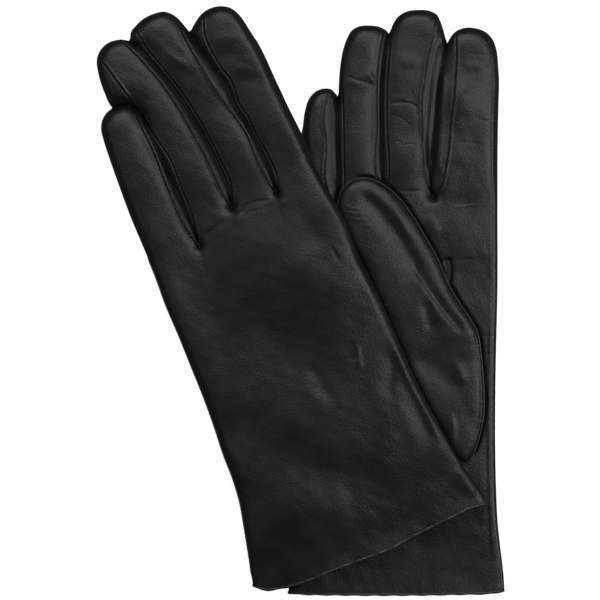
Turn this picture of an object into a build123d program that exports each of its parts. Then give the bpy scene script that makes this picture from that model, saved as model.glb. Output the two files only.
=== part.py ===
from build123d import *

import os

# A pair of slim leather dress gloves, lying flat and crossed.
#
# The right glove lies palm up on the floor. The left glove lies back up over it: its index side rests on the
# right glove's palm, and its little-finger side drapes down to the floor.
# Units are millimetres. X runs to the right, Y towards the fingertips, Z up, and the floor is Z = 0.

# ---- driving dimensions ----
LEATHER = 0.8  # outer leather
LINING = 0.4  # knitted lining
WALL = LEATHER + LINING
GLOVE_T = 9.4  # a hand or finger lying flat
THUMB_T = 7.2  # a folded thumb
GAP = 0.3  # between two pieces that move apart
THUMB_Z = GLOVE_T + GAP  # underside of both folded thumbs
UPPER_Z = THUMB_Z + THUMB_T + GAP  # underside of the left glove where it lies on the right one
DRAPE_FOOT_X = -38.0  # left of this the left glove lies on the floor
DRAPE_HEAD_X = -3.0  # right of this it lies on the right glove
LEFT_TURN = 26.5  # the left glove is turned this far to the left, in degrees
KNUCKLE_S = 61.0  # left hinge line, along the left glove from its centre
LITTLE_S = 48.0  # left little finger's own hinge line
KNUCKLE_Y = 57.6  # right hinge line
LITTLE_Y = 77.4  # right little finger's own hinge line, where it comes out from under the left glove
CUFF_ZONE = 6.0  # corners of an outline this far above its hem line still belong to the cuff's open edge
OPEN_REACH = 12.0  # how far an inset outline runs out past the cuff, so that the cuff stays open
HINGE_REACH = 6.0  # how far it runs past a hinge line
THUMB_HOLE_DEPTH = 2.0  # cut through the leather and the lining at a thumb hole, with room to spare
TALL = 60.0
LONG = 400.0

LEFT = Plane.XY.rotated((0, 0, LEFT_TURN))
RIGHT = Plane.XY

# ---- outlines seen from above: right glove in world X, Y; left glove in its own turned axes ----
RIGHT_HAND = [
    (-5.3, -131.4),
    (20.0, -132.2),
    (45.0, -132.3),
    (70.0, -132.0),
    (91.6, -130.8),
    (91.8, -123.5),
    (90.6, -114.0),
    (89.2, -104.0),
    (88.1, -85.0),
    (87.8, -50.0),
    (88.1, -15.0),
    (88.6, 10.0),
    (88.7, 57.45),
    (59.6, 57.45),
    (59.6, 47.0),
    (58.8, 47.0),
    (58.8, 57.45),
    (39.2, 57.45),
    (39.2, 48.6),
    (38.4, 48.6),
    (38.4, 57.45),
    (18.0, 57.45),
    (17.6, 43.0),
    (16.6, 43.0),
    (16.4, 77.25),
    (1.1, 77.25),
    (0.9, 60.0),
    (1.2, 20.0),
    (2.0, -40.0),
    (1.6, -90.0),
    (-1.8, -115.0),
    (-5.0, -128.0),
]
RIGHT_FINGERS = {
    "index": [
        (59.6, 57.75),
        (60.2, 75.0),
        (61.6, 90.0),
        (64.0, 104.0),
        (66.8, 114.8),
        (70.2, 120.4),
        (74.7, 122.4),
        (80.5, 122.0),
        (85.5, 119.4),
        (88.2, 113.4),
        (89.1, 99.0),
        (88.6, 57.75),
    ],
    "middle": [
        (39.2, 57.75),
        (38.6, 75.0),
        (38.5, 99.0),
        (40.0, 116.5),
        (42.0, 122.4),
        (45.5, 127.5),
        (52.2, 130.5),
        (58.5, 130.0),
        (62.4, 126.5),
        (64.6, 120.0),
        (65.2, 114.5),
        (62.2, 106.2),
        (60.1, 90.0),
        (58.7, 72.0),
        (58.8, 57.75),
    ],
    "ring": [
        (18.0, 57.75),
        (17.3, 81.0),
        (17.4, 99.0),
        (19.4, 110.7),
        (23.4, 120.4),
        (27.5, 123.0),
        (32.5, 123.3),
        (36.8, 121.2),
        (38.8, 117.0),
        (37.9, 108.0),
        (37.7, 75.0),
        (38.4, 57.75),
    ],
    "little": [
        (1.1, 77.55),
        (1.6, 84.0),
        (3.6, 90.0),
        (7.5, 93.8),
        (12.6, 94.9),
        (15.4, 93.2),
        (16.3, 89.0),
        (16.4, 77.55),
    ],
}
RIGHT_THUMB = [
    (18.4, 46.8),
    (22.5, 51.8),
    (29.7, 54.4),
    (36.9, 51.3),
    (49.5, 36.9),
    (61.2, 18.0),
    (74.7, -6.3),
    (80.5, -18.0),
    (81.4, -45.0),
    (79.2, -64.8),
    (74.9, -72.4),
    (66.2, -58.5),
    (56.4, -40.5),
    (46.6, -18.9),
    (38.0, 0.9),
    (28.8, 20.7),
    (21.9, 34.2),
    (19.2, 40.0),
]
LEFT_HAND = [
    (-76.2, -105.6),
    (-67.1, -110.6),
    (-53.8, -114.0),
    (-27.6, -116.0),
    (-14.4, -117.4),
    (13.0, -117.2),
    (34.7, -118.0),
    (33.1, -103.0),
    (31.5, -96.0),
    (31.1, -81.0),
    (30.3, -60.0),
    (31.4, -34.0),
    (32.6, -11.0),
    (33.4, 20.0),
    (33.9, 38.0),
    (33.6, 60.85),
    (13.0, 60.85),
    (13.0, 47.0),
    (12.4, 47.0),
    (12.4, 60.85),
    (-6.6, 60.85),
    (-6.6, 51.3),
    (-7.4, 51.3),
    (-7.4, 60.85),
    (-26.8, 60.85),
    (-29.2, 41.6),
    (-30.2, 41.6),
    (-30.2, 47.85),
    (-52.4, 47.85),
    (-53.6, 38.0),
    (-55.3, 22.0),
    (-56.5, 5.0),
    (-58.1, -19.0),
    (-60.9, -42.0),
    (-62.6, -64.0),
    (-66.0, -78.0),
    (-72.3, -94.7),
]
LEFT_FINGERS = {
    "index": [
        (13.0, 61.15),
        (12.7, 100.0),
        (10.9, 124.0),
        (12.6, 131.5),
        (19.0, 135.2),
        (26.9, 134.4),
        (31.0, 131.0),
        (33.6, 125.0),
        (35.1, 112.0),
        (34.3, 80.0),
        (33.6, 61.15),
    ],
    "middle": [
        (-6.6, 61.15),
        (-6.3, 94.0),
        (-8.0, 111.0),
        (-12.2, 127.0),
        (-15.0, 137.0),
        (-14.0, 141.8),
        (-8.0, 144.9),
        (0.0, 144.6),
        (4.5, 142.0),
        (7.5, 136.0),
        (9.9, 124.0),
        (12.1, 100.0),
        (12.4, 61.15),
    ],
    "ring": [
        (-26.8, 61.15),
        (-25.2, 85.0),
        (-25.4, 104.0),
        (-27.0, 112.0),
        (-33.0, 117.5),
        (-37.4, 117.5),
        (-37.0, 126.0),
        (-35.5, 134.6),
        (-31.0, 140.6),
        (-24.7, 142.1),
        (-19.8, 140.6),
        (-16.2, 136.5),
        (-13.2, 127.0),
        (-8.8, 111.0),
        (-7.2, 94.0),
        (-7.4, 61.15),
    ],
    "little": [
        (-52.4, 48.15),
        (-51.8, 61.0),
        (-50.2, 82.0),
        (-48.2, 98.0),
        (-46.4, 107.0),
        (-43.0, 112.2),
        (-38.0, 114.6),
        (-33.6, 114.0),
        (-29.6, 110.0),
        (-27.6, 103.0),
        (-28.4, 85.0),
        (-29.8, 61.0),
        (-30.2, 48.15),
    ],
}
LEFT_THUMB = [
    (28.7, -82.0),
    (28.9, -52.0),
    (28.6, 4.0),
    (28.2, 22.0),
    (25.0, 31.0),
    (17.0, 33.5),
    (12.3, 28.5),
    (8.8, 20.0),
    (5.5, 8.0),
    (5.5, -20.0),
    (9.0, -50.0),
    (18.0, -76.0),
    (24.0, -83.0),
]
LEFT_HEM = [(-90.0, -95.0), (50.0, -110.7), (50.0, -140.0), (-90.0, -140.0)]
RIGHT_HEM = [(-20.0, -122.0), (110.0, -122.0), (110.0, -150.0), (-20.0, -150.0)]
RIGHT_THUMB_HOLE = [(63.5, -30.0), (68.0, -24.0), (74.0, -26.0), (76.5, -40.0), (75.0, -54.0), (68.0, -50.0)]
LEFT_THUMB_HOLE = [(13.0, -46.0), (13.5, -20.0), (20.0, -14.0), (25.0, -20.0), (25.0, -50.0), (20.0, -56.0)]
HAND_WALLS = [
    "side_seam",
    "fourchette_little_ring",
    "fourchette_ring_middle",
    "fourchette_middle_index",
    "index_fold",
]
QUIRK = [(68.3, 8.2), (68.8, 14.5), (69.6, 16.6), (70.4, 14.5), (70.5, 8.2), (69.4, 6.4)]


def rise(x):
    """Height of the left glove's underside above the floor."""
    share = (x - DRAPE_FOOT_X) / (DRAPE_HEAD_X - DRAPE_FOOT_X)
    return UPPER_Z * min(max(share, 0.0), 1.0)


def outline(points, plane=RIGHT, inset=0.0):
    """A flat outline, drawn in the glove's own axes and moved inwards by the inset."""
    with BuildSketch(Plane.XY) as flat:
        with BuildLine():
            Polyline(*points, close=True)
        make_face()
        if inset:
            offset(amount=-inset, kind=Kind.INTERSECTION, mode=Mode.REPLACE)
    return plane.location * flat.sketch


def layer(region, low, high, draped=False):
    """A layer of the given plan region. Heights are above the underside of the glove it belongs to."""
    with BuildPart() as slab:
        if draped:
            add(region)
            extrude(amount=TALL)
            with BuildSketch(Plane.XZ):
                with BuildLine():
                    xs = [-LONG / 2, DRAPE_FOOT_X, DRAPE_HEAD_X, LONG / 2]
                    under = [(x, rise(x) + low) for x in xs]
                    over = [(x, rise(x) + high) for x in reversed(xs)]
                    Polyline(*under, *over, close=True)
                make_face()
            extrude(amount=LONG / 2, both=True, mode=Mode.INTERSECT)
        else:
            with Locations((0, 0, low)):
                add(region)
            extrude(amount=high - low)
    return slab.part


def save(part, name):
    """Labels one piece and writes it."""
    part.label = name
    export_step(part, f"parts/{name}.step")
    written.append((name, part))


def stretched(points, hinges):
    """The outline with its flat ends on the hinge lines pulled past them, so that an inset stays open there.

    Each hinge is a line and the side, +1 or -1, that its end is pulled to.
    """
    pulled = []
    for u, w in points:
        for line, side in hinges:
            if abs(w - line) < 0.01:
                w += side * HINGE_REACH
                break
        pulled.append((u, w))
    return pulled


def sleeve(outer, inner, base, thickness, draped):
    """A lining: closed over the top and bottom, open where the inner region runs past the outer one."""
    full = layer(outer, base + LEATHER, base + thickness - LEATHER, draped)
    return full - layer(inner, base + WALL, base + thickness - WALL, draped)


def finger(name, points, plane, hinge, draped):
    """One finger: back and palm leather, the forked strip round its edge, and the lining."""
    full = outline(points, plane)
    opened = stretched(points, [(hinge + GAP / 2, -1)])
    leather_in = outline(opened, plane, LEATHER) & full
    lining_in = outline(opened, plane, WALL)
    low_name, high_name = ("palm", "back") if draped else ("back", "palm")
    save(layer(full, 0.0, LEATHER, draped), f"{name}_{low_name}")
    save(layer(full, GLOVE_T - LEATHER, GLOVE_T, draped), f"{name}_{high_name}")
    save(layer(full - leather_in, LEATHER, GLOVE_T - LEATHER, draped), f"{name}_fourchette")
    save(sleeve(leather_in, lining_in, 0.0, GLOVE_T, draped), f"{name}_lining")


def hand(name, points, plane, hinges, hem, hole, draped):
    """One hand: back and palm leather, the walls round its edge, the hem at the cuff, and the lining."""
    hem_zone = outline(hem, plane)
    hem_line = hem[1][1]
    full = outline(points, plane)
    opened = stretched(points, [(line - GAP / 2, 1) for line in hinges])
    cuff_open = [(u, w - OPEN_REACH if w < hem_line + CUFF_ZONE else w) for u, w in opened]
    leather_in = outline(cuff_open, plane, LEATHER) & full
    lining_in = outline(cuff_open, plane, WALL)
    body = full - hem_zone
    way_low = -THUMB_HOLE_DEPTH / 2 if draped else GLOVE_T - THUMB_HOLE_DEPTH
    thumb_way = layer(outline(hole, plane), way_low, way_low + 2 * THUMB_HOLE_DEPTH, draped)
    low = layer(body, 0.0, LEATHER, draped)
    high = layer(body, GLOVE_T - LEATHER, GLOVE_T, draped)
    if draped:
        save(low - thumb_way, f"{name}_palm")
        save(high, f"{name}_back")
    else:
        save(low, f"{name}_back")
        save(high - thumb_way, f"{name}_palm")
    lining = sleeve(leather_in - hem_zone, lining_in, 0.0, GLOVE_T, draped)
    save(lining - thumb_way, f"{name}_lining")
    mouth = layer(lining_in, WALL, GLOVE_T - WALL, draped)
    save(layer(full & hem_zone, 0.0, GLOVE_T, draped) - mouth, f"{name}_hem")
    walls = layer(body - leather_in, LEATHER, GLOVE_T - LEATHER, draped)
    pieces = sorted(walls.solids(), key=lambda wall: wall.center().dot(plane.x_dir))
    for wall, label in zip(pieces, HAND_WALLS, strict=True):
        save(wall, f"{name}_{label}")


def thumb(name, points, plane, hole, hole_up):
    """One folded thumb: two leather faces, the edge between them, and the lining."""
    base = THUMB_Z
    full = outline(points, plane)
    leather_in = outline(points, plane, LEATHER)
    lining_in = outline(points, plane, WALL)
    way_low = base + THUMB_T - THUMB_HOLE_DEPTH + 0.3 if hole_up else base - 0.5
    way = layer(outline(hole, plane), way_low, way_low + THUMB_HOLE_DEPTH + 0.2)
    save(layer(full, base, base + LEATHER) - way, f"{name}_under")
    save(layer(full, base + THUMB_T - LEATHER, base + THUMB_T) - way, f"{name}_over")
    save(layer(full - leather_in, base + LEATHER, base + THUMB_T - LEATHER), f"{name}_edge")
    save(sleeve(leather_in, lining_in, base, THUMB_T, False) - way, f"{name}_lining")


written = []
os.makedirs("parts", exist_ok=True)

hand("right_hand", RIGHT_HAND, RIGHT, [KNUCKLE_Y, LITTLE_Y], RIGHT_HEM, RIGHT_THUMB_HOLE, False)
for digit, points in RIGHT_FINGERS.items():
    finger(f"right_{digit}", points, RIGHT, LITTLE_Y if digit == "little" else KNUCKLE_Y, False)
thumb("right_thumb", RIGHT_THUMB, RIGHT, RIGHT_THUMB_HOLE, False)
save(layer(outline(QUIRK), GLOVE_T, GLOVE_T + LEATHER), "right_quirk")

hand("left_hand", LEFT_HAND, LEFT, [KNUCKLE_S, LITTLE_S], LEFT_HEM, LEFT_THUMB_HOLE, True)
for digit, points in LEFT_FINGERS.items():
    finger(f"left_{digit}", points, LEFT, LITTLE_S if digit == "little" else KNUCKLE_S, True)
thumb("left_thumb", LEFT_THUMB, LEFT, LEFT_THUMB_HOLE, True)

low_corner = [min(getattr(part.bounding_box().min, k) for _, part in written) for k in "XYZ"]
high_corner = [max(getattr(part.bounding_box().max, k) for _, part in written) for k in "XYZ"]
print(len(written), "pieces, from", low_corner, "to", high_corner)
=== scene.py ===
import math

import bpy
import numpy as np
from mathutils.geometry import delaunay_2d_cdt
from mathutils.kdtree import KDTree
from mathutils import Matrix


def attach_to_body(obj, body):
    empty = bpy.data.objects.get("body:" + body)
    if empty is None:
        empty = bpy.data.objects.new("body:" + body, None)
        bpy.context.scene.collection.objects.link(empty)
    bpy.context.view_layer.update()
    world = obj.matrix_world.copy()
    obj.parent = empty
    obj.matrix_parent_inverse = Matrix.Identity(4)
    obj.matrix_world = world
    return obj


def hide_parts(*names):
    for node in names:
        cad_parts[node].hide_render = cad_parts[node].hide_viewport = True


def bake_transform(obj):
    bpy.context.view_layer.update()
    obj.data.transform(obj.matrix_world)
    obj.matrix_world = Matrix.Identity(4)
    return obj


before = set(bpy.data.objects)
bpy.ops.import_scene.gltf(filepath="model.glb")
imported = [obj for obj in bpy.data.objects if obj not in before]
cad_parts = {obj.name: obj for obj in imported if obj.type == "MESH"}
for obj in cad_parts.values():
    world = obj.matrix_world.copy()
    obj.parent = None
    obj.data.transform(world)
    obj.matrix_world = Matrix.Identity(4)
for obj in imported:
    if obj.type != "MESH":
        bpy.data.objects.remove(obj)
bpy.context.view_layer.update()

# A pair of slim black leather dress gloves. The right one lies palm up, and the left one back up over it.
# Outlines, heights and folds are in millimetres, in the frame's X and Y. Meshes are made in metres.
MM = 0.001
GRID = 0.8  # spacing of the mesh over an upper face
COARSE = 1.8  # spacing over an under face and the linings
RIM_STEP = 0.5  # spacing of the points along the edge
RIM_RINGS = [0.06, 0.24, 0.54, 0.96, 1.5, 2.16]  # rows of points inside the edge, where leather turns over
NARROW = 1.7  # a fold this narrow gets rows of mesh points of its own
CHUNK = 1500  # how many places are measured at once

SLIT = 0.06  # half the gap between two fingers at their tips
TOUCH = 0.9  # two fingers' edges nearer than this press together
TUCK = 0.3  # then one edge goes this far up, and the other this far down
LAP = 0.12  # and each reaches this far past the middle
SKIP = 8  # edge points fewer places apart than this aren't on two fingers

PINCH = (1.7, 2.6, 2.6, 9.0)  # height, two widths and fade of the raised edges between fingers
WAVE_SPAN, WAVES, WAVE_SLOPE = (5.0, 42.0), 26, 0.0014  # lengths, number and height over length

HEM_ROLL = 0.72  # radius of the cuff's rolled edge
HEM_DEEP = 12.0  # how far the leather is turned in at the cuff
SIDE_SEAM = 0.38  # radius of the seam along the little-finger side
BESIDE = 0.85  # how far from a seam its stitches lie
PITCH, STITCH, THREAD_R = 1.75, 1.25, 0.15  # spacing, length and radius of the stitches
THUMB_EDGE = 0.42  # radius of the seam round a thumb

LEFT_TURN = math.radians(26.5)
LEFT_COS, LEFT_SIN = 0.895, 0.446  # of that angle, rounded


# ---------------------------------------------------------------- plan geometry

def unit(v):
    return v / np.maximum(np.linalg.norm(v, axis=-1, keepdims=True), 1e-12)


def ramp(t):
    """0 below 0, 1 above 1, and smooth between."""
    t = np.clip(t, 0.0, 1.0)
    return t * t * (3.0 - 2.0 * t)


def smooth_line(points, step):
    """A smooth line through the points, as points about a step apart."""
    p = np.array(points, float)
    chord = np.concatenate([[0.0], np.cumsum(np.linalg.norm(np.diff(p, axis=0), axis=1))])
    if len(p) > 2:
        slope = np.gradient(p, chord, axis=0)
        fine = np.linspace(0.0, chord[-1], int(chord[-1] / 0.1) + 2)
        i = np.clip(np.searchsorted(chord, fine) - 1, 0, len(p) - 2)
        span = (chord[i + 1] - chord[i])[:, None]
        u = ((fine - chord[i]) / span[:, 0])[:, None]
        p = ((2 * u**3 - 3 * u**2 + 1) * p[i] + (u**3 - 2 * u**2 + u) * span * slope[i]
             + (3 * u**2 - 2 * u**3) * p[i + 1] + (u**3 - u**2) * span * slope[i + 1])
    length = np.concatenate([[0.0], np.cumsum(np.linalg.norm(np.diff(p, axis=0), axis=1))])
    at = np.linspace(0.0, length[-1], max(2, int(round(length[-1] / step)) + 1))
    return np.stack([np.interp(at, length, p[:, k]) for k in range(p.shape[1])], axis=1)


def nearest(places, line):
    """Each place's distance from the line, how far along it is, and +1 on the left or -1 on the right."""
    start, along = line[:-1], np.diff(line, axis=0)
    run = np.linalg.norm(along, axis=1)
    before = np.concatenate([[0.0], np.cumsum(run)[:-1]])
    out = np.zeros((len(places), 3))
    for low in range(0, len(places), CHUNK):
        q = places[low:low + CHUNK, None, :] - start[None]
        t = np.clip((q * along).sum(-1) / run**2, 0.0, 1.0)
        gap = q - t[..., None] * along
        dist = np.linalg.norm(gap, axis=-1)
        k = dist.argmin(1)
        row = np.arange(len(k))
        side = np.sign(along[k, 0] * q[row, k, 1] - along[k, 1] * q[row, k, 0])
        out[low:low + CHUNK] = np.stack([dist[row, k], before[k] + t[row, k] * run[k], side], axis=1)
    return out[:, 0], out[:, 1], out[:, 2]


def depth(places, start, end):
    """A smooth measure of how far inside the edge each place is.

    Beside one straight edge it is the distance. Each piece of edge weighs in by 1 / distance^4, so there is
    no ridge where two edges are equally far.
    """
    along = end - start
    run = np.linalg.norm(along, axis=1)
    along = along / run[:, None]
    out = np.zeros(len(places))
    for low in range(0, len(places), CHUNK):
        q = places[low:low + CHUNK, None, :] - start[None]
        s0 = -(q * along).sum(-1)
        s1 = s0 + run
        h = np.maximum(np.abs(q[..., 0] * along[:, 1] - q[..., 1] * along[:, 0]), 0.02)

        def primitive(s):
            return s / (2 * h**2 * (h**2 + s**2)) + np.arctan(s / h) / (2 * h**3)

        total = (primitive(s1) - primitive(s0)).sum(1)
        out[low:low + CHUNK] = (2.0 * np.maximum(total, 1e-12) / math.pi) ** (-1.0 / 3.0)
    return out


def inside(places, loop):
    """Whether each place is inside the closed loop."""
    a, b = loop, np.roll(loop, -1, axis=0)
    out = np.zeros(len(places), bool)
    for low in range(0, len(places), CHUNK):
        x, y = places[low:low + CHUNK, 0, None], places[low:low + CHUNK, 1, None]
        crosses = (a[:, 1] > y) != (b[:, 1] > y)
        with np.errstate(divide="ignore", invalid="ignore"):
            at = a[:, 0] + (y - a[:, 1]) * (b[:, 0] - a[:, 0]) / (b[:, 1] - a[:, 1])
        out[low:low + CHUNK] = ((crosses & (x < at)).sum(1) % 2) == 1
    return out


def tree_of(places):
    """A tree for finding the nearest of the places."""
    tree = KDTree(len(places))
    for number, (x, y) in enumerate(places.tolist()):
        tree.insert((x, y, 0.0), number)
    tree.balance()
    return tree


def apart(places, tree, gap):
    """Whether each place is at least the gap from every point of the tree."""
    return np.array([tree.find((x, y, 0.0))[2] >= gap for x, y in places.tolist()], bool)


class Plan:
    """A glove or thumb seen from above: its closed edge, made of runs, each a smooth line.

    A run is (label, points). "cuff" is the open mouth. A label starting with "slit" is the gap between two
    fingers, which the edge follows down one side and up the other.
    """

    def __init__(self, runs):
        pieces, self.runs, open_edge = [], {}, []
        count = 0
        for label, points in runs:
            line = smooth_line(points, RIM_STEP)
            if label.startswith("slit"):
                along = unit(np.gradient(line, axis=0))
                right = np.stack([along[:, 1], -along[:, 0]], axis=1)
                gap = SLIT * right * np.linspace(1.0, 0.0, len(line))[:, None] ** 0.6
                down, up = line + gap, (line - gap)[::-1][1:]
                self.runs[label + "_down"] = np.arange(count, count + len(down))
                self.runs[label + "_up"] = np.arange(count + len(down) - 1, count + len(down) + len(up))
                line = np.concatenate([down, up])
            else:
                if pieces and np.linalg.norm(line[0] - pieces[-1][-1]) < 1e-6:
                    line = line[1:]
                self.runs[label] = np.arange(count, count + len(line))
            pieces.append(line)
            open_edge += [label == "cuff"] * len(line)
            count += len(line)
        self.loop = np.concatenate(pieces)
        if np.linalg.norm(self.loop[0] - self.loop[-1]) < 1e-6:
            self.loop = self.loop[:-1]
            open_edge = open_edge[:-1]
        self.open_edge = np.array(open_edge)
        closed = ~(self.open_edge & np.roll(self.open_edge, -1))
        self.fine = (self.loop[closed], np.roll(self.loop, -1, axis=0)[closed])
        thin = np.flatnonzero(~self.open_edge)[::4]
        hop = np.linalg.norm(self.loop[np.roll(thin, -1)] - self.loop[thin], axis=1) < 8 * RIM_STEP
        self.rough = (self.loop[thin][hop], self.loop[np.roll(thin, -1)][hop])
        self.tree = tree_of(self.loop)

    def corner(self, label, point):
        """The number of the edge point on that run that is nearest to the point."""
        ids = self.runs[label]
        ids = ids[ids < len(self.loop)]
        return int(ids[np.linalg.norm(self.loop[ids] - np.array(point), axis=1).argmin()])

    def press(self):
        """How far each edge point moves so that neighbouring fingers press together, one over the other."""
        loop, count = self.loop, len(self.loop)
        move = np.zeros((count, 3))
        step = np.abs(np.arange(count)[:, None] - np.arange(count)[None])
        step = np.minimum(step, count - step)
        gap = np.linalg.norm(loop[:, None] - loop[None], axis=2)
        gap[step < SKIP] = np.inf
        other = gap.argmin(1)
        for i in np.flatnonzero(gap[np.arange(count), other] < TOUCH):
            j = other[i]
            share = min(1.0, (step[i, j] - SKIP) / 20)
            move[i, :2] = (0.5 + LAP / gap[i, j]) * (loop[j] - loop[i]) * share
            move[i, 2] = (TUCK if i < j else -TUCK) * share
        return move

    def rings(self):
        """Rows of points just inside the edge."""
        tangent = unit(np.roll(self.loop, -1, axis=0) - np.roll(self.loop, 1, axis=0))
        inward = np.stack([tangent[:, 1], -tangent[:, 0]], axis=1)[~self.open_edge]
        rows = []
        for offset in RIM_RINGS:
            row = self.loop[~self.open_edge] + inward * offset
            row = row[apart(row, self.tree, 0.93 * offset)]
            rows.append(row[inside(row, self.loop)])
        return np.concatenate(rows)

    def depth(self, places, edge):
        """How far inside the edge each place is, and 0 on the edge itself."""
        out = np.zeros(len(places))
        far = apart(places, self.tree, 5.0)
        out[far] = depth(places[far], *self.rough)
        out[~far] = depth(places[~far], *self.fine)
        out[edge] = 0.0
        return out

    def mesh(self, spacing, cuts=(), rows=()):
        """Triangles over the plan, with extra points on the rows.

        Each cut is (first edge point, inner points, last edge point), and triangle edges follow it. Returns
        places, triangles, and each place's edge point or -1.
        """
        low, high = self.loop.min(0), self.loop.max(0)
        across = np.arange(low[0], high[0], spacing)
        up = np.arange(low[1], high[1], spacing * math.sqrt(0.75))
        grid = np.stack(np.meshgrid(across, up), axis=-1)
        grid[1::2, :, 0] += spacing / 2
        grid = grid.reshape(-1, 2)
        grid = grid[inside(grid, self.loop[::3])]
        grid = grid[apart(grid, self.tree, 1.2)]
        count = len(self.loop)
        points = [self.loop]
        edges = [(i, (i + 1) % count) for i in range(count)]
        for first, inner, last in cuts:
            ids = [first, *range(count, count + len(inner)), last]
            edges += list(zip(ids[:-1], ids[1:]))
            points.append(inner)
            count += len(inner)
        extra = [self.rings()]
        if len(rows):
            rows = rows[np.unique(np.round(rows / 0.16), axis=0, return_index=True)[1]]
            rows = rows[inside(rows, self.loop[::2])]
            extra.append(rows[apart(rows, self.tree, 0.5)])
        fixed = np.concatenate(points)
        extra = np.concatenate(extra)
        if cuts:
            extra = extra[apart(extra, tree_of(fixed[len(self.loop):]), 0.14)]
        fixed = np.concatenate([fixed, extra])
        grid = grid[apart(grid, tree_of(fixed), 0.42 * spacing)]
        out = delaunay_2d_cdt([tuple(q) for q in np.concatenate([fixed, grid])], edges, [], 1, 1e-6, True)
        co, tris = np.array([tuple(q) for q in out[0]]), np.array([tuple(t) for t in out[2]])
        self.walls = {tuple(sorted(out[1][i])) for i, ids in enumerate(out[4]) if ids}
        edge = np.array([min([k for k in ids if k < len(self.loop)], default=-1) for ids in out[3]])
        a, b, c = co[tris[:, 0]], co[tris[:, 1]], co[tris[:, 2]]
        area = (b[:, 0] - a[:, 0]) * (c[:, 1] - a[:, 1]) - (b[:, 1] - a[:, 1]) * (c[:, 0] - a[:, 0])
        tris[area < 0] = tris[area < 0][:, ::-1]
        keep = np.abs(area) > 1e-9
        outer = keep & (edge[tris] >= 0).all(1)
        keep[outer] = inside(co[tris[outer]].mean(1), self.loop)
        return co, tris[keep], edge

    def regions(self, tris):
        """Numbers the triangles by the areas that the cuts divide the plan into."""
        sides = {}
        for number, (a, b, c) in enumerate(tris.tolist()):
            for edge in ((a, b), (b, c), (c, a)):
                sides.setdefault((min(edge), max(edge)), []).append(number)
        links = [[] for _ in range(len(tris))]
        for edge, pair in sides.items():
            if len(pair) == 2 and edge not in self.walls:
                links[pair[0]].append(pair[1])
                links[pair[1]].append(pair[0])
        region = np.full(len(tris), -1)
        for seed in range(len(tris)):
            if region[seed] < 0:
                region[seed] = seed
                stack = [seed]
                while stack:
                    for other in links[stack.pop()]:
                        if region[other] < 0:
                            region[other] = seed
                            stack.append(other)
        return region


# ---------------------------------------------------------------- height

def crown(d, radius):
    """0 at the edge, where it stands upright, rising to 1 well inside."""
    return np.sqrt(1.0 - np.exp(-2.0 * np.maximum(d, 0.0) / radius))


def relief(places, folds):
    """The height that the folds add.

    A fold is (points, height, width on its left, width on its right, length over which its ends fade).
    """
    total = np.zeros(len(places))
    for points, height, left, right, fade in folds:
        line = smooth_line(points, 1.0)
        reach = 2.6 * max(left, right)
        near = np.all((places > line.min(0) - reach) & (places < line.max(0) + reach), axis=1)
        if not near.any():
            continue
        dist, along, side = nearest(places[near], line)
        length = np.linalg.norm(np.diff(line, axis=0), axis=1).sum()
        ends = ramp(along / fade) * ramp((length - along) / fade)
        width = np.where(side > 0, left, right)
        total[near] += height * ends * np.exp(-((dist / width) ** 2))
    return total


def swelling(places, swells):
    """Broad mounds and hollows, each (x, y, height, half length, half width, degrees from the X axis)."""
    total = np.zeros(len(places))
    for x, y, height, length, width, turn in swells:
        c, s = math.cos(math.radians(turn)), math.sin(math.radians(turn))
        dx, dy = places[:, 0] - x, places[:, 1] - y
        total += height * np.exp(-(((c * dx + s * dy) / length) ** 2) - ((c * dy - s * dx) / width) ** 2)
    return total


def unevenness(places, seed):
    """The slight waviness of soft leather: waves of many lengths, in many directions."""
    draw = np.random.default_rng(seed)
    total = np.zeros(len(places))
    for length in np.geomspace(*WAVE_SPAN, WAVES):
        angle, phase = draw.uniform(0.0, 2 * math.pi, 2)
        along = places @ np.array([math.cos(angle), math.sin(angle)])
        total += WAVE_SLOPE * length * np.sin(2 * math.pi * along / length + phase)
    return total


def fold_rows(folds):
    """Rows of points along the narrow folds, close enough together to carry their shape."""
    rows = []
    for points, height, left, right, fade in folds:
        line = smooth_line(points, 0.7)
        normal = unit(np.gradient(line, axis=0))
        normal = np.stack([-normal[:, 1], normal[:, 0]], axis=1)
        for width, side in ((left, 1), (right, -1)):
            if width <= NARROW:
                rows += [line + side * normal * width * share for share in (0.0, 0.55, 1.1, 1.8)]
    return np.concatenate(rows) if rows else np.zeros((0, 2))


def shifted(points, offset):
    """A line moved to its left by the offset."""
    line = smooth_line(points, 2.0)
    along = unit(np.gradient(line, axis=0))
    return line + offset * np.stack([-along[:, 1], along[:, 0]], axis=1)


def vertex_normals(co, tris):
    """Unscaled normals: each triangle counts by its area."""
    n = np.cross(co[tris[:, 1]] - co[tris[:, 0]], co[tris[:, 2]] - co[tris[:, 0]])
    total = np.zeros_like(co)
    for k in range(3):
        np.add.at(total, tris[:, k], n)
    return total


# ---------------------------------------------------------------- meshes

def make_piece(name, co, tris, material, slot="leather", normals=None):
    """A piece from millimetre points. Normals carry its smooth shading on over its cut edges."""
    used, index = np.unique(tris, return_inverse=True)
    index = index.reshape(tris.shape)
    mesh = bpy.data.meshes.new(name)
    mesh.from_pydata((co[used] * MM).tolist(), [], index.tolist())
    mesh.shade_smooth()
    if normals is not None:
        mesh.normals_split_custom_set_from_vertices(unit(normals[used]).tolist())
    rest = mesh.attributes.new("rest_place", "FLOAT_VECTOR", "POINT")
    rest.data.foreach_set("vector", (co[used] * MM).astype(np.float32).ravel())
    mesh.materials.append(material)
    piece = bpy.data.objects.new(name, mesh)
    bpy.context.scene.collection.objects.link(piece)
    return piece


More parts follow.
